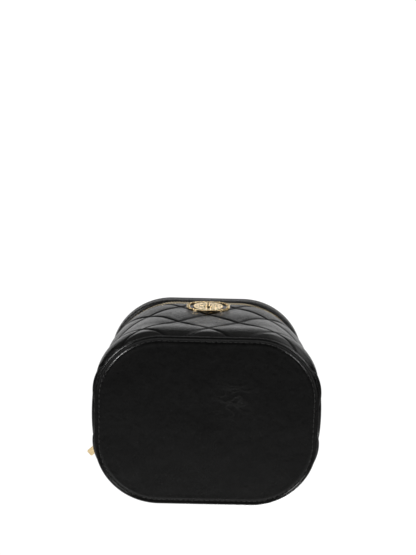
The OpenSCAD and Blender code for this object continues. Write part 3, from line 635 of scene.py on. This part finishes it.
def wall_stitches():
    """Thread along both families of seams, sunk in their grooves."""
    centres, along, outward = [], [], []
    sunk, reach = 0.65, 0.6
    for family in (1, -1):
        for k in range(DIAMONDS):
            for z in np.arange(WALL_Z0 + 3.4, WALL_TOP - 1.8, QUILT_PITCH/math.sqrt(2)):
                x, y, facing = seam_point(family, k, z)
                if y > 0 and z > STRIP_Z0 - 2 and abs(x) < ZIP_W/2 - 22:
                    continue  # behind the hinge strip
                x0, y0, _ = seam_point(family, k, z - reach)
                x1, y1, _ = seam_point(family, k, z + reach)
                centres.append((x - sunk*math.cos(facing), y - sunk*math.sin(facing), z))
                along.append((x1 - x0, y1 - y0, 2*reach))
                outward.append((math.cos(facing), math.sin(facing), 0.0))
    stitches("quilting_thread", centres, along, outward, QUILT_STITCH, QUILT_THREAD, "case",
             "quilted_leather", M_THREAD)


# ---- base ----
def base():
    """A rolled rim, the sewn groove and a panel that is never quite flat over its board."""
    size, n = (BASE_W, BASE_D, BASE_R), 480
    flat_out = (-6.2, -8, -11, -15)
    profile = ([(-2.6, 2.5), (-1.2, 2.42)] + arc(-1.25, 1.22, 1.22, 85, -148, 22)
               + [(-2.6, 0.42), (-2.9, 0.56), (-GROOVE_IN, 0.6), (-3.42, 0.53), (-3.66, 0.34), (-3.92, 0.15),
                  (-4.3, 0.05), (-4.9, 0.01)]
               + [(out, 0.0) for out in flat_out])
    s = np.arange(n)*outline_len(*size)/n
    at = outline(*size, s)
    rows = [ring(*at, out, z) for out, z in profile]
    # the crease attribute marks the sewn groove, where the leather's colour gets painted shade
    crease = [np.full(n, max(0.0, 1 - abs(out + GROOVE_IN)/1.6) if z < 1 else 0.0) for out, z in profile]
    inner = rows[-1]
    for f in np.linspace(1, 0.02, 26)[1:]:
        rows.append(np.stack([inner[:, 0]*f, inner[:, 1]*f, np.zeros(n)], 1))
        crease.append(np.zeros(n))
    P = np.stack(rows)
    x, y = P[..., 0], P[..., 1]
    sag = 0.06*(1 + waves(x, y, 11, 55)) + 0.03*(1 + waves(x, y, 12, 16))
    flat = np.arange(len(rows)) >= len(profile) - len(flat_out)
    P[..., 2] += np.where(flat[:, None], sag, 0.0)
    grid("base_leather_panel", P, s, np.arange(len(rows))*1.0, "case", "base_leather", M_BASE,
         cap=(0, 0, 0.08), nodes=["base_panel"], attrs={"crease": np.stack(crease)})
    stitch_line("base_stitching", size, GROOVE_IN, 0.5, -1.0, "case", "base_leather", 3.6, 2.8, 0.24)


# ---- lid ----
def lid_size(k):
    """The lid's outline: the zip's at k = 0, and a little narrower, deeper and squarer at k = 1."""
    return ZIP_W - 2*LID_IN*k, ZIP_D + 2*LID_OUT*k, ZIP_R - LID_SQUARE*k


def lid_side():
    """The lid's upright side, with a lip that overhangs the zip and a sewn groove above the lip."""
    profile = ([(-1.7, LID_Z0 + 1.6), (-1.6, LID_Z0 + 0.02)] + arc(-0.95, LID_Z0 + 0.4, 0.4, 270, 350, 5)
               + [(-0.56, LID_Z0 + 0.8), (-0.7, LID_Z0 + 1.2), (-0.52, LID_Z0 + 1.6)]
               + [(-0.1 - (108.0 - z)**2/115, z) for z in np.linspace(LID_Z0 + 2.0, RIM_TOP, 9)]
               + [(-0.35, RIM_TOP + 0.3), (-0.8, RIM_TOP + 0.5), (-1.4, RIM_TOP + 0.6)])
    n = 480
    u = np.arange(n)/n
    rows = []
    for out, z in profile:
        # the hidden edge keeps the zip's outline, and the lip eases into the lid's own
        k = float(np.clip((z - LID_Z0)/0.8, 0, 1)) if out > -1.65 else 0.0
        size = lid_size(k*k*(3 - 2*k))
        rows.append(ring(*outline(*size, u*outline_len(*size)), out, z))
    grid("lid_side_leather", rows, u*outline_len(ZIP_W, ZIP_D, ZIP_R), lengths(profile), "lid",
         "trim_leather", M_TRIM, nodes=["lid_rim"])
    stitch_line("lid_side_stitching", lid_size(1), 0.6, LID_Z0 + 1.2, "out", "lid", "trim_leather", 3.2, 2.4,
                0.2)
    band("lid_piping_cord", arc(-ROLL_R, ROLL_Z, ROLL_R, 0, 360, 33)[:-1], "lid", "trim_leather", M_PIPING,
         lid_size(1), closed=True, n=480, nodes=["lid_piping"])


def lid_crown(f):
    """Height of the lid's seams over its board, at a share f of the way in from the edge."""
    return 0.9 + 2.0*np.sin(np.pi/2*np.minimum(1.0, f*1.1))**0.8


def lid_top():
    """The padded top inside the piping, quilted in diamonds like the wall, and its seams' thread."""
    edge = 2*ROLL_R - 0.5
    w, d, r = lid_size(1)
    w, d, r = w - 2*edge, d - 2*edge, r - edge
    n = 720
    s = np.arange(n)*outline_len(w, d, r)/n
    x, y, _ = outline(w, d, r, s)
    rows, crease = [], []
    for f in np.concatenate([[0, 0, 0.006], np.linspace(0.015, 0.99, 168)]):
        X, Y = x*(1 - f), y*(1 - f)
        p, q = X/LID_DIAMOND + 0.5, Y/LID_DIAMOND
        near = near_seam(p, q, LID_DIAMOND)
        rise = min(1.0, f/0.14)
        padding = (puff(p, q)*0.75 - 0.4*np.clip((near - 0.86)/0.14, 0, 1)**1.5
                   + 0.14*waves(X, Y, 21, 36)*(1 - near))
        h = lid_crown(f) + rise**0.7*padding if rows else np.full(n, 0.05)
        rows.append(np.stack([X, Y, LID_BOARD_TOP + h], 1))
        # the crease attribute marks the seams' grooves, where the leather's colour gets painted shade
        crease.append(near*rise)
    grid("quilted_lid_top", rows, s, np.arange(len(rows))*0.5, "lid", "quilted_leather", M_QUILT, flip=True,
         cap=(0, 0, rows[-1][:, 2].mean()), nodes=["lid_top"], attrs={"crease": np.stack(crease)}, pad=0.7)
    centres, along = [], []
    for family in (1, -1):
        for k in range(-5, 6):
            for x in np.arange(-90, 90, QUILT_PITCH/math.sqrt(2)):
                y = family*(LID_DIAMOND*(k - 0.5) - x)
                if past_corner(x, y, w, d, r) < r*0.93:
                    inside = 1 - reach_share(x, y, w, d, r)
                    centres.append((x, y, LID_BOARD_TOP + lid_crown(inside) - 0.25))
                    along.append((1, -family, 0))
    stitches("lid_quilting_thread", centres, along, np.tile([0, 0, 1.0], (len(centres), 1)), QUILT_STITCH,
             QUILT_THREAD, "lid", "quilted_leather", M_THREAD)


def past_corner(x, y, w, d, r):
    """How far a point lies outside the rectangle that an outline's corner centres span."""
    return math.hypot(max(abs(x) - (w/2 - r), 0), max(abs(y) - (d/2 - r), 0))


def reach_share(x, y, w, d, r):
    """How far out a point lies, as a share of the outline's reach in its direction."""
    if x == 0 and y == 0:
        return 0.0
    low, high = 0.0, 400.0/math.hypot(x, y)
    for _ in range(30):
        mid = (low + high)/2
        low, high = (mid, high) if past_corner(x*mid, y*mid, w, d, r) < r else (low, mid)
    return 1/low


# ---- zip tapes ----
def tapes():
    """Two tapes from one end of the hinge, round the front, to the other. The teeth are the CAD's."""
    start = CORNER_X + math.radians(COVER_A0 - 90)*ZIP_R
    s = np.linspace(start, outline_len(ZIP_W, ZIP_D, ZIP_R) - start, 420)
    gap = 0.62
    for name, body, z0, z1, node in (
            ("lower_tape_cloth", "case", WALL_TOP - 3, ZIP_Z - gap, "lower_zip_tape"),
            ("upper_tape_cloth", "lid", ZIP_Z + gap, LID_Z0 + 0.55, "upper_zip_tape")):
        band(name, strap(-1.25, -1.85, z0, z1, 0.27), body, "zip_tape", M_TAPE, s=s, closed=True,
             nodes=[node])


# ---- leather hinge ----
def hinge():
    """One strip of leather across the fold, with rounded edges and trimmed corners."""
    half_w, half_t, corner_r, swell = HINGE_W/2, STRIP_T/2, 3, 0.12
    zs = np.concatenate([np.linspace(STRIP_Z0 + half_t, ZIP_Z - 3, 12),
                         np.linspace(ZIP_Z - 2.5, ZIP_Z + 2.5, 21),
                         np.linspace(ZIP_Z + 3, STRIP_Z1 - half_t, 12)])
    middle = STRIP_Y0 + half_t
    profile = [(STRIP_Y0 + STRIP_T + swell*math.exp(-((z - ZIP_Z)/2.2)**2), z) for z in zs]
    profile += arc(middle, STRIP_Z1 - half_t, half_t, 30, 150, 5)
    profile += [(STRIP_Y0 + 0.02, z) for z in zs[::-1]]
    profile += arc(middle, STRIP_Z0 + half_t, half_t, 210, 330, 5)
    ys, zs = np.array(profile).T
    from_fold = zs - ZIP_Z
    xs = np.linspace(-1, 1, 121)*half_w
    rows = []
    for x in xs:
        edge = max(0.0, (abs(x) - half_w + half_t)/half_t)
        thin = math.sqrt(max(0.0, 1 - min(edge, 1)**2))
        corner = max(0.0, (abs(x) - half_w + corner_r)/corner_r)
        trim = corner_r*(1 - math.sqrt(1 - min(corner, 1)**2*0.9999))
        z = zs - np.sign(from_fold)*np.clip(trim - (9 - np.abs(from_fold)), 0, 4)
        rows.append(np.stack([np.full(len(ys), x), middle + (ys - middle)*thin, z], 1))
    o = grid("leather_hinge", rows, lengths(profile), xs, None, "trim_leather", M_TRIM, flip=True)
    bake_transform(o)
    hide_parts("hinge_strip_lower", "hinge_strip_upper")
    x = np.arange(-27, 27.1, 3.0)
    for name, body, z in (("hinge_stitching_lower", "case", STRIP_Z0 + 1.8),
                          ("hinge_stitching_upper", "lid", STRIP_Z1 - 1.8)):
        centres = np.stack([x, np.full(len(x), STRIP_Y0 + 1.14), np.full(len(x), z)], 1)
        along, outward = (np.tile(v, (len(x), 1)) for v in ([1.0, 0, 0], [0, 1.0, 0]))
        stitches(name, centres, along, outward, 2.3, 0.22, body, "trim_leather", M_THREAD)


# ---- linings ----
def case_linings():
    """The wall's lining, folded over the board's edge, a thin pad on the floor and the ledge's covering."""
    face = -LINING_IN
    profile = [(-1.95, WALL_TOP - 0.6), (-1.95, WALL_TOP + 0.05), (-2.2, WALL_TOP + 0.3),
               (-3.2, WALL_TOP + 0.36), (-4.0, WALL_TOP + 0.2), (face, WALL_TOP - 0.4)]
    profile += [(face - 0.05*math.sin(k*1.7), z) for k, z in enumerate(np.linspace(WALL_TOP - 3, 8.0, 24))]
    profile += arc(face - 2.0, 7.6, 2.0, 0, -90, 6)
    band("wall_lining", profile, "case", "lining", M_SUEDE, n=300, nodes=["body_lining"])
    panel("floor_pad_lining", inset(LINING_IN + 1.8), 240, np.linspace(1, 0.03, 40),
          lambda x, y, f: 5.35 + 0.5*min(1, (1 - f)*12) + 0.12*waves(x, y, 31, 40)*(1 - f), 5.9,
          "case", "lining", M_SUEDE, nodes=["floor_lining"], pad=0.3)
    band("ledge_lining", strap(face - 0.05, face - 4.05, LEDGE_Z0, LEDGE_TOP, 0.7), "case", "lining", M_SUEDE,
         closed=True, n=240, nodes=["tray_ledge"])


def lid_linings():
    """The lining of the lid's rim and the panel that holds the mirror."""
    face = -LINING_IN
    profile = [(-1.95, LID_Z0 + 0.6), (-1.95, LID_Z0 - 0.05), (-2.2, LID_Z0 - 0.3), (-3.2, LID_Z0 - 0.36),
               (-4.0, LID_Z0 - 0.2), (face, LID_Z0 + 0.4)]
    profile += [(face - 0.04*math.sin(k*1.9), z) for k, z in enumerate(np.linspace(LID_Z0 + 1.2, 104.6, 6))]
    profile += arc(face - 1.0, 104.75, 1.0, 0, 90, 5)
    band("lid_wall_lining", profile, "lid", "lining", M_SUEDE, n=300, flip=True, nodes=["lid_rim_lining"])
    panel("lid_panel_lining", inset(LINING_IN + 0.9), 240, np.linspace(1, 0.03, 30),
          lambda x, y, f: LID_PANEL_Z0 - 0.12*min(1, (1 - f)*14) + 0.05*waves(x, y, 32, 35),
          LID_PANEL_Z0 - 0.1, "lid", "lining", M_SUEDE, flip=True, nodes=["lid_lining"])


def mirror_frame():
    """A leather frame that laps over the mirror's edge."""
    size = (MIRROR_W, MIRROR_D, MIRROR_R)
    profile = ([(-0.3, 103.9)] + arc(0.55, 104.4, 0.75, 190, 270, 5)
               + [(1.2, 103.62), (1.7, 103.74), (2.2, 103.62), (3.2, 103.66)]
               + arc(3.4, 104.3, 0.6, 280, 350, 4) + [(4.0, 105.7)])
    band("mirror_frame_leather", profile, "lid", "trim_leather", M_TRIM, size, n=240, flip=True,
         nodes=["mirror_frame"])
    stitch_line("mirror_frame_stitching", size, -1.7, 103.7, -1.0, "lid", "trim_leather", 3.0, 2.2, 0.18)


# ---- tray ----
def tray():
    """The tray's covering, wrapped over its wall, its underside and the padding of its floor."""
    profile = (arc(-TRAY_OUT - 0.9, TRAY_Z0 + 0.9, 0.9, 270, 360, 5) + [(-TRAY_OUT, z) for z in (70, 76, 82)]
               + arc(-TRAY_OUT - 0.9, TRAY_TOP - 0.9, 0.9, 0, 180, 11) + [(-TRAY_IN, z) for z in (82, 76, 70)]
               + arc(-TRAY_IN - 0.8, TRAY_Z0 + TRAY_T + 0.8, 0.8, 0, -90, 4))
    band("tray_wall_covering", profile, "tray", "tray_covering", M_SUEDE, n=300, nodes=["tray_shell"])
    panel("tray_underside", inset(TRAY_OUT + 0.9), 200, np.linspace(1, 0.03, 12),
          lambda x, y, f: TRAY_Z0 + 0.03*(1 + waves(x, y, 41, 50)), TRAY_Z0, "tray", "tray_covering", M_SUEDE)

    def padding(x, y, f):
        """The floor's pad, thinner beside the tray's wall and dividers."""
        beside = np.where(y < CROSS_Y, np.abs(np.abs(x) - DIVIDER_X), np.abs(x))
        wall = np.minimum(np.abs(y - CROSS_Y), beside)
        dip = np.clip(np.minimum(wall, (1 - f)*60)/3.0, 0, 1)**0.5
        return TRAY_FLOOR - 1.1 + 1.05*dip + 0.1*waves(x, y, 42, 30)*dip

    panel("tray_floor_padding", inset(TRAY_IN), 200, np.linspace(1, 0.02, 60), padding, TRAY_FLOOR - 0.8,
          "tray", "tray_pad", M_PAD, flip=True, nodes=["tray_floor_pad"], pad=0.3)


def divider(name, x0, y0, x1, y1, n):
    """A suede-covered divider with a rounded top, from one end to the other."""
    half, z0 = DIVIDER_T/2, TRAY_FLOOR - 0.1
    zs = np.linspace(z0 + 1, DIVIDER_TOP - 1.2, 8)
    profile = ([(half, z0)] + [(half + 0.03*math.sin(k*2.1), z) for k, z in enumerate(zs)]
               + arc(0, DIVIDER_TOP - half, half, 0, 180, 9)
               + [(-half - 0.03*math.sin(k*1.7), z) for k, z in enumerate(zs[::-1])] + [(-half, z0)])
    out, z = np.array(profile).T
    dx, dy = x1 - x0, y1 - y0
    length = math.hypot(dx, dy)
    f = np.linspace(0, 1, n)
    rows = [np.stack([x0 + dx*v - dy/length*out, y0 + dy*v + dx/length*out, z], 1) for v in f]
    return grid(name, rows, lengths(profile), f*length, "tray", "tray_covering", M_SUEDE, wrap_u=False)


def tray_front(x):
    """Where the tray's inner wall stands at the front, at x in its corners."""
    return -math.sqrt((ZIP_R - TRAY_IN)**2 - (x - CORNER_X)**2) - CORNER_Y


def dividers():
    """A cross divider from side to side, two beside the ring compartment and one to the back."""
    side = ZIP_W/2 - TRAY_IN + 0.2
    joint = 0.6  # the other dividers stop this far from the middle of the cross divider
    cross = divider("divider_cross", -side, CROSS_Y, side, CROSS_Y, 80)
    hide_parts("tray_dividers")
    for name, x in (("divider_ring_left", -DIVIDER_X), ("divider_ring_right", DIVIDER_X)):
        divider(name, x, tray_front(DIVIDER_X) - 0.2, x, CROSS_Y - joint, 50)
    divider("divider_rear", 0, CROSS_Y + joint, 0, ZIP_D/2 - TRAY_IN + 0.2, 60)


def ring_rolls():
    """Soft rolls side by side; each is a loaf with gathered, rounded ends."""
    run, z0, height, radius = RING_W - 0.5, TRAY_FLOOR + 0.1, 15.0, 3.7
    back = CROSS_Y - DIVIDER_T/2 - 0.25
    front = tray_front(RING_W/2) + 0.25
    count = int((back - front)/7.65)
    pitch = (back - front)/count
    top = TRAY_FLOOR + height - radius
    zs = np.linspace(TRAY_FLOOR + 1.2, top, 7)
    ease = 0.06*(1 - np.cos(np.linspace(0, math.pi/2, 8)))
    places = np.concatenate([-1 + ease, np.linspace(-0.93, 0.93, 60), 1 - ease[::-1]])
    for k in range(count):
        profile = ([(-radius*0.9, z0)]
                   + [(-radius - 0.05*math.sin(j*1.3 + k), z) for j, z in enumerate(zs)]
                   + arc(0, top, radius, 172, 8, 13)
                   + [(radius + 0.05*math.sin(j*1.6 + k), z) for j, z in enumerate(zs[::-1])]
                   + [(radius*0.9, z0)])
        across, z = np.array(profile).T
        up = z - z0
        middle = back - pitch*(k + 0.5)
        rows = []
        for v in places:
            end = min(1.0, (1 - abs(v))/0.06)
            full = 0.55 + 0.45*math.sqrt(max(0.0, 1 - (1 - end)**2))
            wobble = 0.06*math.sin(v*9 + k*2.2) + 0.04*math.sin(v*23 + k)
            y = middle + across*full*(1 + 0.012*math.sin(v*13 + k))
            z = z0 + up*(0.86 + 0.14*full) + wobble*up/height
            rows.append(np.stack([np.full(len(y), v*run/2), y, z], 1))
        grid("ring_roll_%d" % (k + 1), rows, lengths(profile), places*run/2, "tray", "tray_pad",
                          M_PAD, wrap_u=False, pad=0.8, flip=True)
    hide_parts("ring_rolls")


def ribbons():
    """A pull of folded ribbon inside each end of the tray."""
    width = 8.4
    middle = CROSS_Y + DIVIDER_T/2 + 0.3 + 4.2
    wall = ZIP_W/2 - TRAY_IN - 0.05
    path = [(wall - 0.25, 77.5)]
    path += [(wall - 0.3 - 0.12*math.sin(k), z) for k, z in enumerate((80.0, 84.0, 88.0))]
    path += [(wall - 0.45, 90.0), (wall - 0.6, 91.3), (wall - 0.85, 92.1)]
    path += [(x - 0.5, z) for x, z in path[::-1]]
    x, z = np.array(path).T
    places = np.linspace(-1, 1, 25)*width/2
    for name, side in (("tray_ribbon_left", -1), ("tray_ribbon_right", 1)):
        rows = [np.stack([side*x, np.full(len(x), middle + v), z], 1) for v in places]
        o = grid(name, rows, lengths(path), places, "tray", "ribbon", M_RIBBON, flip=side < 0)
        if side < 0:
            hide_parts("tray_ribbons")


for build in (quilted_wall, wall_stitches, base, lid_side, lid_top, tapes, hinge, case_linings, lid_linings,
              mirror_frame, tray, dividers, ring_rolls, ribbons):
    build()


# ---- studio ----
def world():
    """White to the camera; to the object a bright sky, a dim side behind and dark below and in front."""
    w = Nodes(bpy.data.worlds.new("studio"))
    scene.world = w.owner
    towards = w.node("SeparateXYZ", Vector=w.coords("Generated"))
    sky = w.ramp(towards.outputs[2], 0.78, 1.0, 0.0, 1.06, smooth=True)
    behind = w.ramp(towards.outputs[1], 0.25, 0.75, 0.0, 0.55, smooth=True)
    light = w.math("ADD", w.math("ADD", sky, behind), 0.014)
    to_camera = w.node("LightPath").outputs["Is Camera Ray"]
    background = w.tree.nodes["Background"]
    w.put(background.inputs["Color"], w.node("Mix", i0=to_camera, i2=light, i3=1.0).outputs[0])
    background.inputs["Strength"].default_value = 1.05


def floor():
    """A pale floor, clear from below, that only the camera sees."""
    mesh = bpy.data.meshes.new("floor")
    mesh.from_pydata([(-3, -3, 0), (3, -3, 0), (3, 3, 0), (-3, 3, 0)], [], [(0, 1, 2, 3)])
    o = bpy.data.objects.new("floor", mesh)
    scene.collection.objects.link(o)
    m = new_material("floor")
    m.set(Base_Color=(0.82, 0.82, 0.81), Roughness=0.7)
    surface = m.node("MixShader", i0=m.node("NewGeometry").outputs["Backfacing"],
                     i1=m.tree.nodes["Principled BSDF"].outputs[0], i2=m.node("BsdfTransparent").outputs[0])
    m.put(m.tree.nodes["Material Output"].inputs["Surface"], surface.outputs[0])
    mesh.materials.append(m.owner)
    o.visible_diffuse = o.visible_glossy = o.visible_transmission = o.visible_shadow = False


# name, place and target in metres, width, watts, and whether the gloss shows it
LIGHTS = (
    ("key", (-0.35, -1.2, 0.25), (0, 0, 0.05), 1.6, 1.3, True),
    ("soft", (-0.35, -1.2, 0.3), (0, 0, 0.05), 1.2, 14, False),
    ("fill", (0.8, -0.7, 0.35), (0, 0, 0.05), 1.0, 4, True),
    ("rear", (0.3, 0.9, 0.7), (0, 0, 0.08), 0.6, 9, True),
    ("under", (0.02, 0.17, -0.16), (0, 0.03, 0), 0.12, 0.6, False),
    ("rim_left", (-0.91, -0.5, -0.6), (0, 0, 0.02), 0.4, 9, True),
    ("card", (-0.084, 0.118, -0.065), (-0.085, 0.056, 0.094), 0.05, 0.005, True),
    ("rim_right", (0.91, -0.5, -0.6), (0, 0, 0.02), 0.35, 4, True),
)


def lights():
    for name, place, target, width, watts, glossy in LIGHTS:
        data = bpy.data.lights.new(name, "AREA")
        data.shape, data.size, data.energy = "DISK", width, watts
        o = bpy.data.objects.new(name, data)
        o.location = place
        o.rotation_euler = (Vector(target) - Vector(place)).to_track_quat("-Z", "Y").to_euler()
        o.visible_camera = False
        o.visible_glossy = glossy
        scene.collection.objects.link(o)


scene.view_settings.view_transform = "Standard"
scene.view_settings.look = "None"
world()
floor()
lights()
